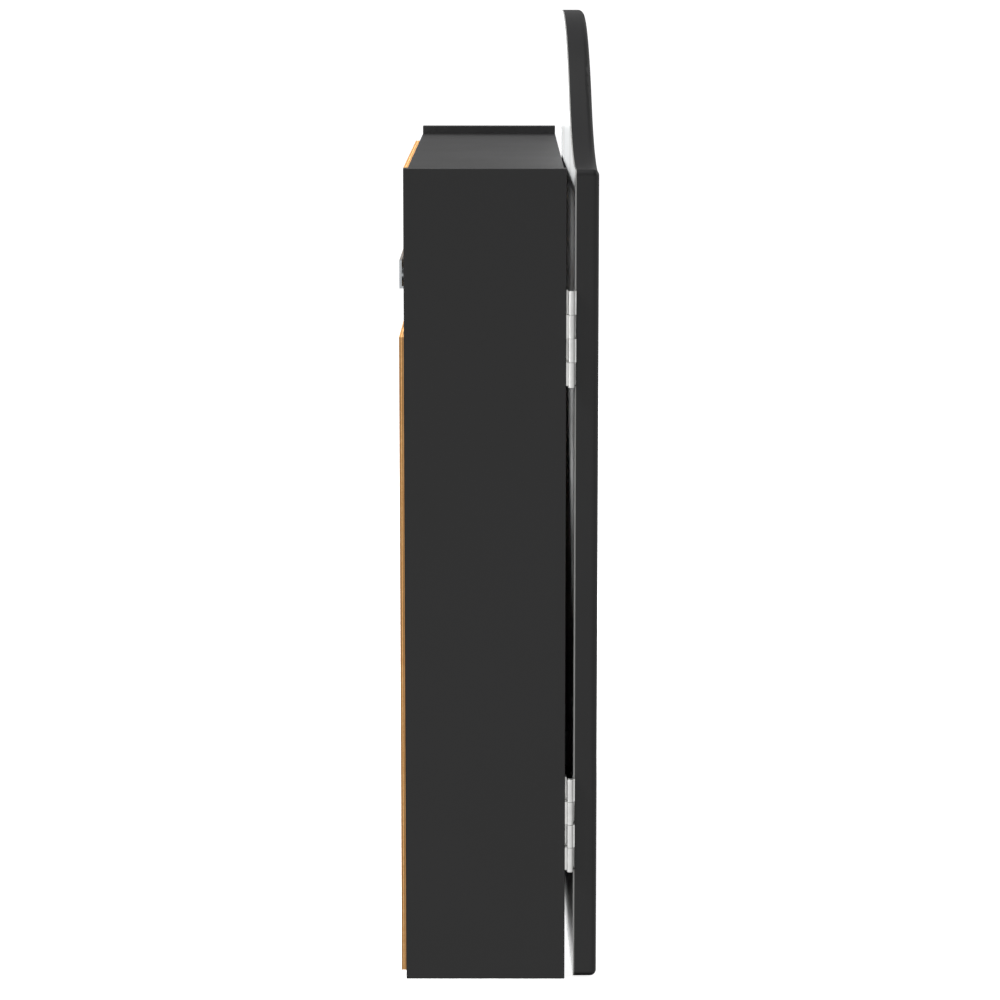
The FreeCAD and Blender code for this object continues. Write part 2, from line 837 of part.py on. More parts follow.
def save_hinges():
    for name, level in hinge_levels.items():
        save_pair("hinge_box_leaf_" + name, box_leaf(level))
        save_pair("hinge_door_leaf_" + name, door_leaf(level))
        save_pair("hinge_pin_" + name, hinge_pin(level))
    save("hinge_box_screws", both_sides(screws(hinge_screw, box_hinge_screw_places(), to_front)))
    save_pair("hinge_door_screws", closed_screws(hinge_screw, door_hinge_screw_places()))


def save_doors():
    save_pair("door_panel", door_panel())
    save_pair("whiteboard", whiteboard())
    save_pair("strike_plates", strike_plates())
    save_pair("strike_screws", closed_screws(strike_screw, strike_places()))
    save_pair("dart_rack", dart_rack())
    save_pair("rack_screws", closed_screws(rack_screw, rack_screw_places()))


save_box()
save_board()
save_catches()
save_hinges()
save_doors()
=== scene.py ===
# %% [markdown]
# # A dart board cabinet, finished in Blender
# The design of the cabinet comes ready made: each part stands in its place, and this lesson gives
# each one the surface of its real material, adds the wire numbers round the dart board, and then
# sets up a plain studio. Everything is in metres. X runs across the cabinet, the doors face -Y and
# Z points up. The origin is on the wall, level with the bullseye.

# %% Load the design
import bpy
import math
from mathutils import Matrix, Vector


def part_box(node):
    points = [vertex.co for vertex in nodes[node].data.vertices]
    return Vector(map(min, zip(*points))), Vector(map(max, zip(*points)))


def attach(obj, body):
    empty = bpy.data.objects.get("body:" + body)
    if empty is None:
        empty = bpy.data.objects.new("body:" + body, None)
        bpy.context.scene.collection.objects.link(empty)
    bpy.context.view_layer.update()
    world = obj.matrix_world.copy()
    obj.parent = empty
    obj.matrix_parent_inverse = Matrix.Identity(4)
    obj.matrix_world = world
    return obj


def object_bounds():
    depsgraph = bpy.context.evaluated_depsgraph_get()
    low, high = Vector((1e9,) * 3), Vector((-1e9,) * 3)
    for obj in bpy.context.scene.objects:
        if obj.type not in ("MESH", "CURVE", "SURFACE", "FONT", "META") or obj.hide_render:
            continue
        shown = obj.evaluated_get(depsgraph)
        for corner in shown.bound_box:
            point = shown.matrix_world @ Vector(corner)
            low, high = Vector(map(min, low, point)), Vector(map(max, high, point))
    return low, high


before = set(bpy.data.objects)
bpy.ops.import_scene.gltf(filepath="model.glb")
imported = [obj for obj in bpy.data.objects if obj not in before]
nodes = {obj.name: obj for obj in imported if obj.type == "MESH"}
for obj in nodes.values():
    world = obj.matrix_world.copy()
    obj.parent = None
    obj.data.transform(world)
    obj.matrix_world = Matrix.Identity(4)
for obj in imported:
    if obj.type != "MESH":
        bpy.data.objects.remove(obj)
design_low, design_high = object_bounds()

# %% [markdown]
# ## Working in real sizes
# A pattern looks right only at its real size, so every scale below starts from millimetres. A
# noise texture of scale s has features about 1/s metres wide when it reads object coordinates,
# because one unit is one metre. Colours are written as the hex values that a colour picker gives.
# Blender works in linear light, so one function converts them.

# %% Units and colour
MM = 0.001


def per_mm(size):
    """Texture scale whose features are this many millimetres wide."""
    return 1 / (size * MM)


def linear(hex_colour):
    """An sRGB hex colour as linear RGBA."""
    channels = [int(hex_colour[i:i + 2], 16) / 255 for i in (0, 2, 4)]
    light = [c / 12.92 if c <= 0.04045 else ((c + 0.055) / 1.055) ** 2.4 for c in channels]
    return (*light, 1.0)


print("mid grey in linear light:", round(linear("808080")[0], 3))

# %% [markdown]
# ## One helper for every node
# A material is a small circuit of nodes. One helper adds a node of any kind, sets its options and
# fills its inputs. An input takes a number or a colour, an output of another node, or the node
# itself, which then sends its first output that is in use. A colour ramp also takes stops, each
# a position from 0 to 1 and a colour.

# %% The node helper
def add(tree, kind, inputs=None, stops=(), **options):
    """Add a shader node with its options, inputs and ramp stops."""
    node = tree.nodes.new("ShaderNode" + kind)
    for name, value in options.items():
        setattr(node, name, value)
    for name, value in (inputs or {}).items():
        if isinstance(value, bpy.types.Node):
            value = next(output for output in value.outputs if output.enabled)
        if isinstance(value, bpy.types.NodeSocket):
            tree.links.new(value, node.inputs[name])
        else:
            node.inputs[name].default_value = value
    if stops:
        elements = node.color_ramp.elements
        while len(elements) < len(stops):
            elements.new(0.5)
        for element, (position, colour) in zip(elements, stops):
            element.position = position
            element.color = colour
    return node


# A Mix node has a socket for every kind of value. These are the numbers of its factor and colours.
FACTOR, FIRST, SECOND = 0, 6, 7
print("colour sockets of a Mix node:", FIRST, SECOND)

# %% [markdown]
# ## Materials and the parts that wear them
# A pattern reads the object's own coordinates, in metres, so it stays put on a part that moves. A
# thin sheet has two kinds of surface, its faces and its cut sides. All the sheets here face the
# doors or the wall, so the Y of the surface normal tells the two apart.

# %% Material helpers
def new_material(name):
    """An empty material with its tree, and the object coordinates that its patterns read."""
    material = bpy.data.materials.new(name)
    material.use_nodes = True
    material.node_tree.nodes.clear()
    place = add(material.node_tree, "TexCoord").outputs["Object"]
    return material, material.node_tree, place


def faces_the_doors(tree):
    """1 where a surface faces the doors or the wall, and 0 on the sides of a sheet."""
    normal = add(tree, "SeparateXYZ", {"Vector": add(tree, "TexCoord").outputs["Normal"]})
    flat = add(tree, "Math", {0: normal.outputs["Y"]}, operation="ABSOLUTE")
    return add(tree, "Math", {0: flat, 1: 0.5}, operation="GREATER_THAN")


def grey(value):
    """A grey in linear light, which also serves as a plain number on a ramp."""
    return (value, value, value, 1)


def paint(material, *names):
    """Give a material to design parts."""
    for name in names:
        mesh = nodes[name].data
        mesh.materials.clear()
        mesh.materials.append(material)


def left_and_right(*names):
    """Each name with its left and its right ending."""
    return [name + side for name in names for side in ("_left", "_right")]


print("doors:", left_and_right("door_panel"))

# %% [markdown]
# ## Satin lacquer on fibreboard
# The box and the doors are medium density fibreboard sprayed with black satin lacquer. The board
# has no grain, so the lacquer lies almost flat. What gives it away is a faint orange peel, about
# 1.5 mm from crest to crest, and a gloss that clouds a little from place to place. Flat black with
# one roughness would look like a cut-out, so one wide noise changes the tone and the gloss together
# and a fine one raises the peel. Dark satin shows the room more than its own colour.

# %% Satin black lacquer
def satin_black_lacquer():
    material, tree, place = new_material("satin_black_lacquer")
    cloud = add(tree, "TexNoise", {"Vector": place, "Scale": per_mm(90), "Detail": 3.0})
    peel = add(tree, "TexNoise", {"Vector": place, "Scale": per_mm(1.5), "Detail": 2.0})
    colour = add(tree, "ValToRGB", {"Fac": cloud}, [(0.3, linear("1A1A1B")), (0.7, linear("1E1E1E"))])
    gloss = add(tree, "ValToRGB", {"Fac": cloud}, [(0.25, grey(0.46)), (0.75, grey(0.54))])
    bump = add(tree, "Bump", {"Height": peel, "Strength": 0.12, "Distance": 0.1 * MM})
    surface = add(tree, "BsdfPrincipled", {"Base Color": colour, "Roughness": gloss, "IOR": 1.48,
                                           "Normal": bump})
    add(tree, "OutputMaterial", {"Surface": surface})
    return material


lacquer = satin_black_lacquer()
paint(lacquer, *left_and_right("side_panel", "door_panel"), "top_panel", "bottom_panel")
print("lacquered:", lacquer.name)

# %% [markdown]
# ## Bare plywood
# The back is a 3 mm sheet of tropical plywood, left bare, of three plies. Its outer grain runs
# across the cabinet. A peeled veneer has no straight rings to draw, so noise suits it better than a
# wave. Long, thin streaks come from a noise that is stretched along X, and slow bands of colour
# come from a wider one. The pores are short dark dashes.
#
# A sheet gives itself away at its sides, where the plies show. There the core ply lies along the
# edge and stays light, the two outer plies end in it and are darker, and thin lines of glue part
# them. The object's own Y tells the plies apart, and the surface normal tells the sides from the
# faces.

# %% Plies of the sheet
SHEET_THICKNESS = 3.0
OUTER_PLY = 0.9
GLUE_LINE = 0.15


def cut_side_of_plywood(tree, place, streak, band):
    """The colour of the sheet's sides. Depth runs through the sheet from the wall."""
    depth = add(tree, "Math", {0: add(tree, "SeparateXYZ", {"Vector": place}).outputs["Y"]},
                operation="ABSOLUTE")
    off_middle = add(tree, "Math", {0: depth, 1: SHEET_THICKNESS / 2 * MM}, operation="SUBTRACT")
    from_core = add(tree, "Math", {0: off_middle}, operation="ABSOLUTE")
    core = (SHEET_THICKNESS / 2 - OUTER_PLY) * MM
    outer = add(tree, "Math", {0: from_core, 1: core}, operation="GREATER_THAN")
    off_glue = add(tree, "Math", {0: from_core, 1: core}, operation="SUBTRACT")
    to_glue = add(tree, "Math", {0: off_glue}, operation="ABSOLUTE")
    glue = add(tree, "Math", {0: to_glue, 1: GLUE_LINE * MM}, operation="LESS_THAN")
    long_grain = add(tree, "ValToRGB", {"Fac": streak}, [(0.3, linear("EDAE66")), (0.7, linear("FFC882"))])
    end_grain = add(tree, "ValToRGB", {"Fac": band}, [(0.3, linear("C48D52")), (0.7, linear("DCA66A"))])
    plies = add(tree, "Mix", {FACTOR: outer, FIRST: long_grain, SECOND: end_grain}, data_type="RGBA")
    return add(tree, "Mix", {FACTOR: glue, FIRST: plies, SECOND: linear("8C5D30")}, data_type="RGBA")


print("plies in mm:", OUTER_PLY, round(SHEET_THICKNESS - 2 * OUTER_PLY, 1), OUTER_PLY)


# %% Bare plywood
def bare_plywood():
    material, tree, place = new_material("bare_plywood")
    slow = add(tree, "Mapping", {"Vector": place, "Scale": (0.12, 1, 1)})
    band = add(tree, "TexNoise", {"Vector": slow, "Scale": per_mm(22), "Detail": 4.0, "Distortion": 0.4})
    long = add(tree, "Mapping", {"Vector": place, "Scale": (0.03, 1, 1)})
    streak = add(tree, "TexNoise", {"Vector": long, "Scale": per_mm(2.2), "Detail": 5.0})
    short = add(tree, "Mapping", {"Vector": place, "Scale": (0.09, 1, 1)})
    pore = add(tree, "TexNoise", {"Vector": short, "Scale": per_mm(0.7), "Detail": 2.0})
    broad = add(tree, "ValToRGB", {"Fac": band}, [(0.28, linear("9C6838")), (0.45, linear("B98348")),
                                                  (0.62, linear("C49257")), (0.8, linear("A87440"))])
    fine = add(tree, "ValToRGB", {"Fac": streak}, [(0.3, linear("A5703E")), (0.7, linear("CB985C"))])
    grain = add(tree, "Mix", {FACTOR: 0.45, FIRST: broad, SECOND: fine}, data_type="RGBA")
    dark = add(tree, "ValToRGB", {"Fac": pore}, [(0.60, grey(0)), (0.72, grey(0.55))])
    face = add(tree, "Mix", {FACTOR: dark, FIRST: grain, SECOND: linear("6B4020")}, data_type="RGBA")
    side = cut_side_of_plywood(tree, place, streak, band)
    colour = add(tree, "Mix", {FACTOR: faces_the_doors(tree), FIRST: side, SECOND: face}, data_type="RGBA")
    bump = add(tree, "Bump", {"Height": streak, "Strength": 0.35, "Distance": 0.15 * MM})
    surface = add(tree, "BsdfPrincipled", {"Base Color": colour, "Roughness": 0.72, "IOR": 1.45,
                                           "Normal": bump})
    add(tree, "OutputMaterial", {"Surface": surface})
    return material


plywood = bare_plywood()
paint(plywood, "back_panel")
print("bare:", plywood.name)

# %% [markdown]
# ## Planed wood
# The two battens beside the hangers and the rail behind the dart board are planed pine. Its growth
# rings are about 4 mm apart: pale early wood, then a harder, browner late wood. The battens stand,
# so their grain runs up, and the rail lies level. The dowels in the box's corners are turned beech,
# which is pinker and far more even.
#
# A wave texture gives the rings. Bent by a slow noise, its straight lines wander as real ones do.
# Blender's wave repeats every 2 pi / 20 of a unit at scale 1, so the spacing is worked out from that.

# %% Planed wood
WAVE_TURN = 2 * math.pi / 20


def planed_wood(name, grain_along, early, middle, late, ring_mm):
    """A wood whose grain runs along X or Z, with its rings stacked along the other."""
    material, tree, place = new_material(name)
    squeeze, across = ((0.05, 1, 1), "Z") if grain_along == "X" else ((1, 1, 0.05), "X")
    drawn_out = add(tree, "Mapping", {"Vector": place, "Scale": squeeze})
    wander = add(tree, "TexNoise", {"Vector": drawn_out, "Scale": per_mm(30), "Detail": 3.0})
    shift = add(tree, "VectorMath", {0: wander.outputs["Color"], "Scale": 12 * MM}, operation="SCALE")
    bent = add(tree, "VectorMath", {0: place, 1: shift}, operation="ADD")
    rings = add(tree, "TexWave", {"Vector": bent, "Scale": WAVE_TURN * per_mm(ring_mm), "Distortion": 0.6,
                                  "Detail": 2.0}, bands_direction=across).outputs["Fac"]
    fibre = add(tree, "TexNoise", {"Vector": drawn_out, "Scale": per_mm(1.0), "Detail": 4.0})
    grain = add(tree, "ValToRGB", {"Fac": rings}, [(0.2, linear(early)), (0.75, linear(middle)),
                                                   (0.95, linear(late))])
    strands = add(tree, "ValToRGB", {"Fac": fibre}, [(0.3, linear(middle)), (0.7, linear(early))])
    colour = add(tree, "Mix", {FACTOR: 0.4, FIRST: grain, SECOND: strands}, data_type="RGBA")
    bump = add(tree, "Bump", {"Height": fibre, "Strength": 0.3, "Distance": 0.1 * MM})
    surface = add(tree, "BsdfPrincipled", {"Base Color": colour, "Roughness": 0.65, "IOR": 1.45,
                                           "Normal": bump})
    add(tree, "OutputMaterial", {"Surface": surface})
    return material


level_pine = planed_wood("planed_pine_level", "X", "CBAF84", "B99464", "96693C", 4)
upright_pine = planed_wood("planed_pine_upright", "Z", "CBAF84", "B99464", "96693C", 4)
beech = planed_wood("turned_beech", "X", "D6B08A", "CDA27A", "BE9068", 1.5)
paint(level_pine, "mounting_rail")
paint(upright_pine, *left_and_right("hanger_batten"))
paint(beech, "panel_dowels")
print("planed:", level_pine.name, upright_pine.name, beech.name)

# %% [markdown]
# ## White dry-wipe laminate
# Each door is lined with a white plastic laminate that takes a dry-wipe pen. It is smooth and
# glossy. Pure white would look like paper, so two slow noises stand for what a real one shows: a
# very shallow waviness from the press, tens of millimetres wide, and a little grey haze where pens
# were wiped off. The sheet's cut sides are coloured a duller grey than its face.

# %% White laminate
def white_laminate():
    material, tree, place = new_material("white_drywipe_laminate")
    wiped = add(tree, "Mapping", {"Vector": place, "Scale": (1, 1, 0.4)})
    haze = add(tree, "TexNoise", {"Vector": wiped, "Scale": per_mm(60), "Detail": 4.0})
    wave = add(tree, "TexNoise", {"Vector": place, "Scale": per_mm(45), "Detail": 1.0})
    face = add(tree, "ValToRGB", {"Fac": haze}, [(0.3, linear("F1F2F2")), (0.75, linear("E9EBEC"))])
    colour = add(tree, "Mix", {FACTOR: faces_the_doors(tree), FIRST: linear("9A9A98"), SECOND: face},
                 data_type="RGBA")
    gloss = add(tree, "ValToRGB", {"Fac": haze}, [(0.3, grey(0.16)), (0.8, grey(0.28))])
    bump = add(tree, "Bump", {"Height": wave, "Strength": 0.1, "Distance": 0.4 * MM})
    surface = add(tree, "BsdfPrincipled", {"Base Color": colour, "Roughness": gloss, "IOR": 1.5,
                                           "Normal": bump})
    add(tree, "OutputMaterial", {"Surface": surface})
    return material


laminate = white_laminate()
paint(laminate, *left_and_right("whiteboard"))
print("laminated:", laminate.name)

# %% [markdown]
# ## Plated steels
# Hinges are nickel plated and quite bright, and the hanger plates and screws are zinc plated and
# greyer. The dart board's wire is galvanised, and the catches' magnets have a dull plate. They
# share one recipe: a metal's colour is its reflection, so the base colour is light, metallic is 1,
# and the differences lie in roughness and in a fine grain left by the rolling mill. The grain is
# drawn at 0.4 mm, coarser than it is, so that it shows at all.

# %% Plated steel
GLOSS_CHANGE = 0.06


def plated_steel(name, bright, dull, roughness, rolled_along="Z"):
    """A plated metal. Its roughness varies a little along the rolling grain."""
    material, tree, place = new_material(name)
    squeeze = (0.06, 1, 1) if rolled_along == "X" else (1, 1, 0.06)
    rolled = add(tree, "Mapping", {"Vector": place, "Scale": squeeze})
    grain = add(tree, "TexNoise", {"Vector": rolled, "Scale": per_mm(0.4), "Detail": 3.0})
    patch = add(tree, "TexNoise", {"Vector": place, "Scale": per_mm(6), "Detail": 3.0})
    colour = add(tree, "ValToRGB", {"Fac": patch}, [(0.3, linear(dull)), (0.7, linear(bright))])
    gloss = add(tree, "ValToRGB", {"Fac": grain}, [(0.3, grey(roughness - GLOSS_CHANGE)),
                                                   (0.7, grey(roughness + GLOSS_CHANGE))])
    bump = add(tree, "Bump", {"Height": grain, "Strength": 0.15, "Distance": 0.03 * MM})
    surface = add(tree, "BsdfPrincipled", {"Base Color": colour, "Roughness": gloss, "Metallic": 1.0,
                                           "Normal": bump})
    add(tree, "OutputMaterial", {"Surface": surface})
    return material


nickel = plated_steel("nickel_plated_steel", "E8E8E6", "DCDCDA", 0.4)
zinc = plated_steel("zinc_plated_steel", "C9CCCE", "B6BABD", 0.38, rolled_along="X")
galvanised = plated_steel("galvanised_wire", "C4C6C7", "A9ABAD", 0.4)
magnet = plated_steel("plated_magnet", "AEB0B2", "94979A", 0.3)
hinge_parts = ["hinge_" + part + "_" + level for part in ("box_leaf", "door_leaf", "pin")
               for level in ("upper", "lower")]
paint(nickel, *left_and_right(*hinge_parts))
paint(zinc, *left_and_right("hanger_plate", "strike_plates", "strike_screws", "rack_screws",
                            "hinge_door_screws"), "hanger_washers", "hanger_screws",
      "back_panel_nails", "bracket_screws", "catch_screws", "hinge_box_screws", "board_hook_screw")
paint(magnet, "catch_magnets")
paint(galvanised, "spider", "number_ring", "number_clips")
print("plated:", nickel.name, zinc.name, galvanised.name, magnet.name)

# %% [markdown]
# ## Moulded plastic, rubber and black steel
# The dart racks and catch cases are moulded ABS. The mould was spark eroded, which leaves a fine,
# even texture about 0.5 mm wide. The powder coated bracket has a softer orange peel, the enamelled
# band of the dart board is smooth and glossy, and the moulded rubber pads are dull. One recipe
# makes them all, since they differ only in tone, gloss and the width and depth of the relief.

# %% Black plastic and black steel
def black_finish(name, light, dark, roughness, ior, texture_mm, depth_mm):
    """A black finish with slow changes of tone and a fine relief of the given width and depth."""
    material, tree, place = new_material(name)
    relief = add(tree, "TexNoise", {"Vector": place, "Scale": per_mm(texture_mm), "Detail": 2.0})
    wear = add(tree, "TexNoise", {"Vector": place, "Scale": per_mm(25), "Detail": 4.0})
    colour = add(tree, "ValToRGB", {"Fac": wear}, [(0.3, linear(dark)), (0.75, linear(light))])
    bump = add(tree, "Bump", {"Height": relief, "Strength": 0.3, "Distance": depth_mm * MM})
    surface = add(tree, "BsdfPrincipled", {"Base Color": colour, "Roughness": roughness, "IOR": ior,
                                           "Normal": bump})
    add(tree, "OutputMaterial", {"Surface": surface})
    return material


moulded = black_finish("moulded_abs", "26272A", "1D1E20", 0.48, 1.53, 0.5, 0.04)
powder = black_finish("powder_coated_steel", "202020", "161616", 0.4, 1.5, 1.2, 0.06)
enamel = black_finish("enamelled_steel_band", "1A1A1B", "121213", 0.25, 1.5, 8.0, 0.02)
rubber = black_finish("moulded_rubber", "242424", "1A1A1A", 0.8, 1.52, 0.8, 0.05)
paint(moulded, "catch_body_top", "catch_body_bottom", *left_and_right("dart_rack"))
paint(powder, "board_bracket")
paint(enamel, "board_rim")
paint(rubber, "board_pads")
print("black:", moulded.name, powder.name, enamel.name, rubber.name)

# %% [markdown]
# ## The dart board
# A board is a bundle of sisal fibres pressed end-on and dyed, so its face is a velvet of tiny
# fibre ends. The twenty sectors, the doubles and the trebles are dye, and that is a polar pattern:
# the angle picks the sector and the distance from the middle picks the band. The sectors are black
# and cream, and in the scoring bands those turn to red and green. Fibre ends are drawn at 0.9 mm,
# about four times too coarse, so that they show.

# %% Where the dye goes
SECTORS = 20
TREBLES = (99, 107)
DOUBLES = (162, 170)


def within_band(tree, radius, inner_mm, outer_mm):
    """1 between two circles."""
    beyond = add(tree, "Math", {0: radius, 1: inner_mm * MM}, operation="GREATER_THAN")
    short_of = add(tree, "Math", {0: radius, 1: outer_mm * MM}, operation="LESS_THAN")
    return add(tree, "Math", {0: beyond, 1: short_of}, operation="MULTIPLY")


def dye_pattern(tree, place):
    """The board's colours from the angle and the distance of each point."""
    split = add(tree, "SeparateXYZ", {"Vector": place})
    x, z = split.outputs["X"], split.outputs["Z"]
    x_square = add(tree, "Math", {0: x, 1: x}, operation="MULTIPLY")
    z_square = add(tree, "Math", {0: z, 1: z}, operation="MULTIPLY")
    radius_square = add(tree, "Math", {0: x_square, 1: z_square}, operation="ADD")
    radius = add(tree, "Math", {0: radius_square}, operation="SQRT")
    angle = add(tree, "Math", {0: x, 1: z}, operation="ARCTAN2")
    sector = add(tree, "Math", {0: angle, 1: SECTORS / 2 / math.pi}, operation="MULTIPLY")
    centred = add(tree, "Math", {0: sector, 1: 0.5}, operation="ADD")
    pair = add(tree, "Math", {0: centred, 1: 2.0}, operation="FLOORED_MODULO")
    even = add(tree, "Math", {0: pair, 1: 1.0}, operation="LESS_THAN")
    scoring = add(tree, "Math", {0: within_band(tree, radius, *TREBLES),
                                 1: within_band(tree, radius, *DOUBLES)}, operation="ADD")
    play = add(tree, "Math", {0: radius, 1: DOUBLES[1] * MM}, operation="LESS_THAN")
    plain = add(tree, "Mix", {FACTOR: even, FIRST: linear("E4D9BC"), SECOND: linear("1B1A19")},
                data_type="RGBA")
    dyed = add(tree, "Mix", {FACTOR: even, FIRST: linear("1E6B3A"), SECOND: linear("B3221E")},
               data_type="RGBA")
    scored = add(tree, "Mix", {FACTOR: scoring, FIRST: plain, SECOND: dyed}, data_type="RGBA")
    return add(tree, "Mix", {FACTOR: play, FIRST: linear("171616"), SECOND: scored}, data_type="RGBA")


print("bands in mm:", TREBLES, DOUBLES)


# %% Dyed sisal
def fibre_ends(tree, place, colour):
    """Finish a fibre tree: matt, with a velvet sheen and the tips of its fibres."""
    fibre = add(tree, "TexVoronoi", {"Vector": place, "Scale": per_mm(0.9)})
    bump = add(tree, "Bump", {"Height": fibre, "Strength": 0.6, "Distance": 0.3 * MM}, invert=True)
    surface = add(tree, "BsdfPrincipled", {"Base Color": colour, "Roughness": 0.9, "Sheen Weight": 0.25,
                                           "Sheen Roughness": 0.4, "Normal": bump})
    add(tree, "OutputMaterial", {"Surface": surface})


def dyed_sisal():
    material, tree, place = new_material("dyed_sisal")
    clump = add(tree, "TexNoise", {"Vector": place, "Scale": per_mm(9), "Detail": 4.0})
    shade = add(tree, "ValToRGB", {"Fac": clump}, [(0.3, grey(0.72)), (0.7, grey(1.05))])
    colour = add(tree, "Mix", {FACTOR: 1.0, FIRST: dye_pattern(tree, place), SECOND: shade},
                 data_type="RGBA", blend_type="MULTIPLY")
    fibre_ends(tree, place, colour)
    return material


def one_dye_sisal(name, light, dark):
    material, tree, place = new_material(name)
    clump = add(tree, "TexNoise", {"Vector": place, "Scale": per_mm(5), "Detail": 4.0})
    colour = add(tree, "ValToRGB", {"Fac": clump}, [(0.3, linear(dark)), (0.7, linear(light))])
    fibre_ends(tree, place, colour)
    return material


sisal = dyed_sisal()
paint(sisal, "sisal_face")
paint(one_dye_sisal("dyed_green_sisal", "237542", "1A5F33"), "outer_bull")
paint(one_dye_sisal("dyed_red_sisal", "BE2520", "9C1D19"), "bullseye")
paint(one_dye_sisal("pressed_fibre_backing", "8A6238", "6E4C2A"), "board_backing")
print("sisal nodes:", len(sisal.node_tree.nodes))

# %% [markdown]
# ## Wire numbers
# Twenty numbers stand round the board, each bent from a wire of 2.2 mm and welded to the front of
# the number ring. The ones below the middle are turned over so that they can be read. A curve with
# a round bevel is just such a wire. Its points are the bends: a round bend takes an automatic
# handle and a sharp one a vector handle, so one short list of points draws each figure. A figure is
# drawn in a square of 1 by 1.

# %% Figures as bends
# Each figure: its bends, whether it closes on itself, and which of its bends are sharp.
FIGURES = {
    "0": ([(0.5, 0), (1, 0.28), (1, 0.72), (0.5, 1), (0, 0.72), (0, 0.28)], True, ()),
    "1": ([(0.1, 0.78), (0.6, 1), (0.6, 0)], False, (0, 1, 2)),
    "2": ([(0, 0.76), (0.5, 1), (1, 0.74), (0.6, 0.38), (0, 0), (1, 0)], False, (4, 5)),
    "3": ([(0, 0.86), (0.5, 1), (0.95, 0.77), (0.45, 0.54), (1, 0.26), (0.5, 0), (0, 0.15)], False, (3,)),
    "4": ([(0.7, 0), (0.7, 1), (0, 0.3), (1, 0.3)], False, (0, 1, 2, 3)),
    "5": ([(0.95, 1), (0.1, 1), (0.04, 0.55), (0.55, 0.62), (1, 0.32), (0.5, 0), (0, 0.12)], False,
          (0, 1, 2)),
    "6": ([(0.85, 0.97), (0.3, 0.8), (0, 0.35), (0.5, 0), (1, 0.3), (0.5, 0.6), (0.05, 0.4)], False, ()),
    "7": ([(0, 1), (1, 1), (0.35, 0)], False, (0, 1, 2)),
    "8": ([(0.5, 0.54), (0.06, 0.77), (0.5, 1), (0.94, 0.77), (0.5, 0.54), (0, 0.26), (0.5, 0),
           (1, 0.26)], True, ()),
    "9": ([(0.15, 0.03), (0.7, 0.2), (1, 0.65), (0.5, 1), (0, 0.7), (0.5, 0.4), (0.95, 0.6)], False, ()),
}
ROUND_THE_BOARD = (20, 1, 18, 4, 13, 6, 10, 15, 2, 17, 3, 19, 7, 16, 8, 11, 14, 9, 12, 5)
FIGURE_HEIGHT = 22 * MM
FIGURE_WIDTH = 12 * MM
FIGURE_SPACE = 5 * MM
WIRE_RADIUS = 1.1 * MM
WELD_DEPTH = 0.2 * MM
# The 6 and the 11 stand level with the middle. This margin keeps them from being turned over.
LEVEL_MARGIN = 0.01
print("figures:", len(FIGURES), "numbers:", len(ROUND_THE_BOARD))

# %% Where the wire stands
ring_low, ring_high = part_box("number_ring")
ring_wire = (ring_high.y - ring_low.y) / 2
ring_radius = (ring_high.x - ring_low.x) / 2 - ring_wire
wire_plane = ring_low.y - WIRE_RADIUS + WELD_DEPTH
print("ring radius in mm:", round(ring_radius / MM, 2), "wire plane in mm:", round(wire_plane / MM, 2))


# %% Bend and weld the wire
def bend_wire(curve, points, is_closed, sharp, corner, along, up):
    """Add one figure to a curve. Its lower left corner, and the directions along and up it, are given."""
    spline = curve.splines.new("BEZIER")
    spline.bezier_points.add(len(points) - 1)
    spline.use_cyclic_u = is_closed
    for index, (point, (u, v)) in enumerate(zip(spline.bezier_points, points)):
        point.co = corner + along * (u * FIGURE_WIDTH) + up * (v * FIGURE_HEIGHT)
        handle = "VECTOR" if index in sharp else "AUTO"
        point.handle_left_type = handle
        point.handle_right_type = handle


for step, number in enumerate(ROUND_THE_BOARD):
    angle = step * 2 * math.pi / len(ROUND_THE_BOARD)
    up = Vector((math.sin(angle), 0, math.cos(angle)))
    middle = up * ring_radius
    middle.y = wire_plane
    if up.z < -LEVEL_MARGIN:
        up = -up
    along = Vector((up.z, 0, -up.x))
    figures = str(number)
    length = len(figures) * FIGURE_WIDTH + (len(figures) - 1) * FIGURE_SPACE
    curve = bpy.data.curves.new("wire_number_%d" % number, "CURVE")
    curve.dimensions = "3D"
    curve.bevel_depth = WIRE_RADIUS
    curve.bevel_resolution = 2
    curve.resolution_u = 8
    curve.use_fill_caps = True
    for place_in_number, figure in enumerate(figures):
        start = place_in_number * (FIGURE_WIDTH + FIGURE_SPACE) - length / 2
        corner = middle + along * start - up * (FIGURE_HEIGHT / 2)
        bend_wire(curve, *FIGURES[figure], corner, along, up)
    curve.materials.append(galvanised)
    wire = bpy.data.objects.new("wire_number_%d" % number, curve)
    bpy.context.scene.collection.objects.link(wire)
    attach(wire, "cabinet")
print("last number:", wire.name, "bends:", sum(len(s.bezier_points) for s in curve.splines))

# %% [markdown]
# ## A floor that doesn't grey
# The cabinet stands on a plain pale floor. Lit by soft light alone, a floor near the camera would
# turn grey, so it also gives out light of its own. It keeps that to itself: diffuse and glossy
# rays pass it by, and the surround below sends the light that a white floor would.

# %% Floor
def pale_floor():
    material, tree, place = new_material("pale_studio_floor")
    mottle = add(tree, "TexNoise", {"Vector": place, "Scale": per_mm(300), "Detail": 3.0})
    colour = add(tree, "ValToRGB", {"Fac": mottle}, [(0.3, linear("F4F4F4")), (0.7, linear("F8F8F8"))])
    surface = add(tree, "BsdfPrincipled", {"Base Color": colour, "Roughness": 0.9,
                                           "Specular IOR Level": 0.2, "Emission Color": linear("FFFFFF"),
                                           "Emission Strength": 0.9})
    add(tree, "OutputMaterial", {"Surface": surface})
    return material


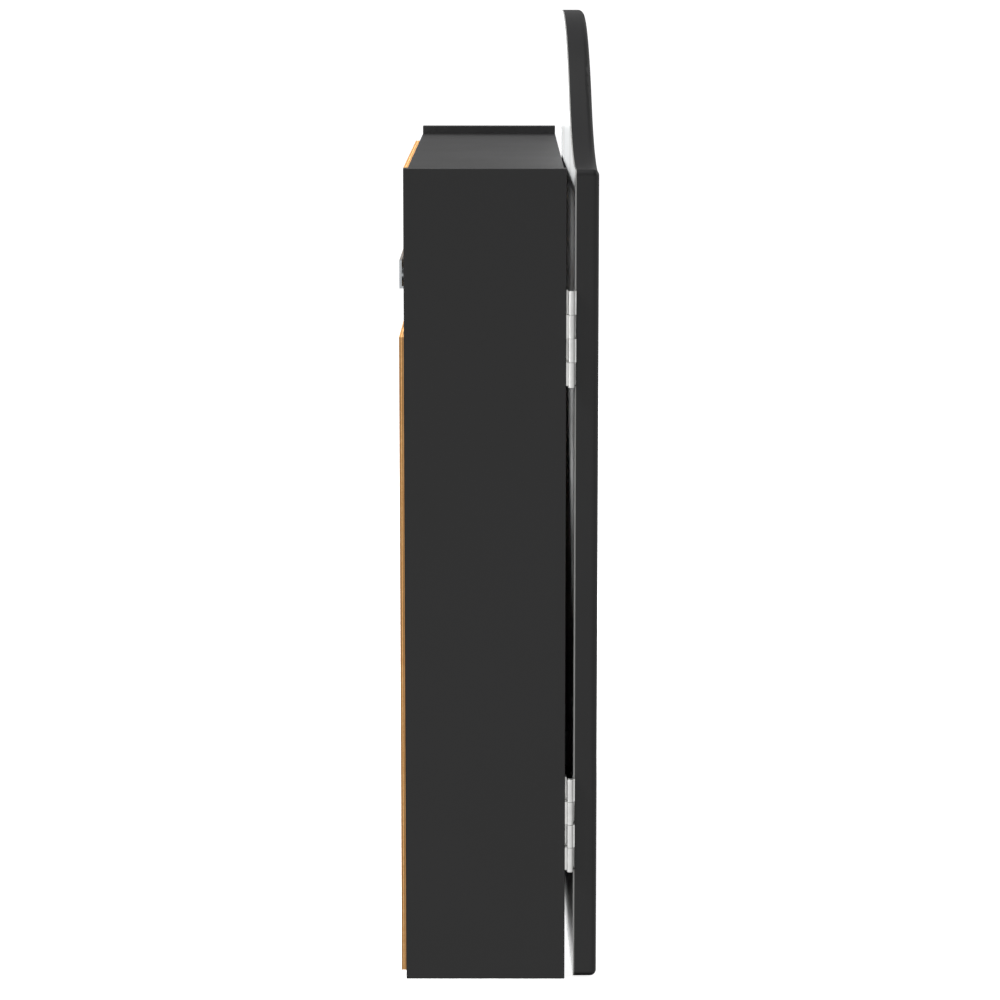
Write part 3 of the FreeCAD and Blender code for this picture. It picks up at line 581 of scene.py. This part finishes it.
FLOOR_REACH = 70.0
level = design_low.z
corners = [(x * FLOOR_REACH, y * FLOOR_REACH, level) for x, y in ((-1, -1), (1, -1), (1, 1), (-1, 1))]
floor_mesh = bpy.data.meshes.new("floor")
floor_mesh.from_pydata(corners, [], [(0, 1, 2, 3)])
floor_mesh.materials.append(pale_floor())
floor = bpy.data.objects.new("floor", floor_mesh)
bpy.context.scene.collection.objects.link(floor)
floor.visible_diffuse = False
floor.visible_glossy = False
print("floor level in mm:", round(level / MM, 1))

# %% [markdown]
# ## Soft lights
# The key light hangs high behind the cabinet, so its light comes down through the open corners and
# picks out the inner face of a closed door. A long low one skims the back, and a wide, weak one
# fills the front. An area light's energy is its watts, and a bigger panel gives softer shadows.

# %% Lights
def softbox(name, place, target, size, watts):
    """A rectangular light that faces its target."""
    light = bpy.data.lights.new(name, "AREA")
    light.shape = "RECTANGLE"
    light.size, light.size_y = size
    light.energy = watts
    lamp = bpy.data.objects.new(name, light)
    lamp.location = place
    lamp.rotation_euler = (Vector(target) - Vector(place)).to_track_quat("-Z", "Y").to_euler()
    bpy.context.scene.collection.objects.link(lamp)
    print(name, "watts:", watts)


softbox("key_light", (-0.35, 1.68, 2.2), (-0.2, -0.05, 0.05), (0.95, 0.95), 125)
softbox("low_light", (-0.35, 2.5, 0.35), (-0.2, 0, 0.2), (1.2, 0.5), 14)
softbox("front_light", (0.4, -2.6, 1.4), (0, -0.05, 0.05), (2.4, 1.6), 24)

# %% [markdown]
# ## The surround
# What a dark, satin surface shows is mostly what stands round it. The surround is white below the
# horizon, where a white floor would be, and dim above it. A white wall stands behind the cabinet
# and to its right, up to some way over the horizon. The light falls off straight below and in
# front of the doors, where the cabinet shades its own floor. It depends on the world's direction
# only, so each view sees the same studio. What the camera sees directly is plain white.

# %% Surround
# Each fade: its axis, where it starts and ends on it, and how bright it is at both.
FADES = {
    "away_from_below": ("Z", -0.9, -0.4, 0.05, 1.06),
    "up_to_the_sky": ("Z", -0.05, 0.12, 1.0, 0.18),
    "before_the_doors": ("Y", -1.0, -0.4, 0.55, 1.0),
    "wall_behind": ("Y", 0.25, 0.7, 0.0, 1.0),
    "wall_at_the_right": ("X", 0.3, 0.8, 0.0, 0.45),
    "wall_top": ("Z", 0.35, 0.55, 1.0, 0.0),
    "wall_foot": ("Z", -0.3, -0.05, 0.0, 1.0),
}
# Each join: what it makes, how, and from which two.
JOINS = (
    ("ground", "MULTIPLY", "away_from_below", "up_to_the_sky"),
    ("ground", "MULTIPLY", "ground", "before_the_doors"),
    ("walls", "MAXIMUM", "wall_behind", "wall_at_the_right"),
    ("wall_band", "MULTIPLY", "wall_top", "wall_foot"),
    ("walls", "MULTIPLY", "walls", "wall_band"),
    ("whole", "MAXIMUM", "ground", "walls"),
)
SEEN_STRENGTH = 1.05


def studio_surround():
    world = bpy.data.worlds.new("studio")
    world.use_nodes = True
    tree = world.node_tree
    tree.nodes.clear()
    direction = add(tree, "SeparateXYZ", {"Vector": add(tree, "TexCoord").outputs["Generated"]})
    glow = {}
    for name, (axis, start, end, low, high) in FADES.items():
        limits = {"From Min": start, "From Max": end, "To Min": low, "To Max": high}
        glow[name] = add(tree, "MapRange", {"Value": direction.outputs[axis], **limits},
                         interpolation_type="SMOOTHSTEP")
    for name, operation, first, second in JOINS:
        glow[name] = add(tree, "Math", {0: glow[first], 1: glow[second]}, operation=operation)
    soft = add(tree, "Background", {"Color": linear("FFFFFF"), "Strength": glow["whole"]})
    seen = add(tree, "Background", {"Color": linear("FFFFFF"), "Strength": SEEN_STRENGTH})
    path = add(tree, "LightPath")
    both = add(tree, "MixShader", {0: path.outputs["Is Camera Ray"], 1: soft, 2: seen})
    add(tree, "OutputWorld", {"Surface": both})
    bpy.context.scene.world = world


studio_surround()
bpy.context.scene.view_settings.view_transform = "Standard"
print("view transform:", bpy.context.scene.view_settings.view_transform)

# %% [markdown]
# ## The camera
# It stands to the left of the cabinet, just above its top, and looks straight along X and a
# little down. A long lens two metres away keeps the far side nearly as large as the near one. A
# tilted lens makes upright lines lean, so part of the way down comes from a small vertical shift.

# %% Camera
# The eye is in metres, and the tilt down and the turn away from X are in degrees.
EYE = (-2.2637, -0.0683, 0.4028)
PITCH_DOWN = 8.06
TURN = 0.113
camera_data = bpy.data.cameras.new("camera")
camera_data.lens = 114.8
camera_data.shift_y = -0.10
camera_data.clip_start = 0.05
camera = bpy.data.objects.new("camera", camera_data)
camera.location = EYE
camera.rotation_euler = (math.radians(90 - PITCH_DOWN), 0, math.radians(-90 + TURN))
bpy.context.scene.collection.objects.link(camera)
bpy.context.scene.camera = camera
print("camera to the cabinet in mm:", round((design_low.x - EYE[0]) / MM))

# %% [markdown]
# ## The size of the design
# The design's box is written down, in millimetres. Nothing added here may make the cabinet
# bigger than its design.

# %% Write down the design's box and finish
print("design in mm:", [round(side / MM, 1) for side in design_high - design_low])
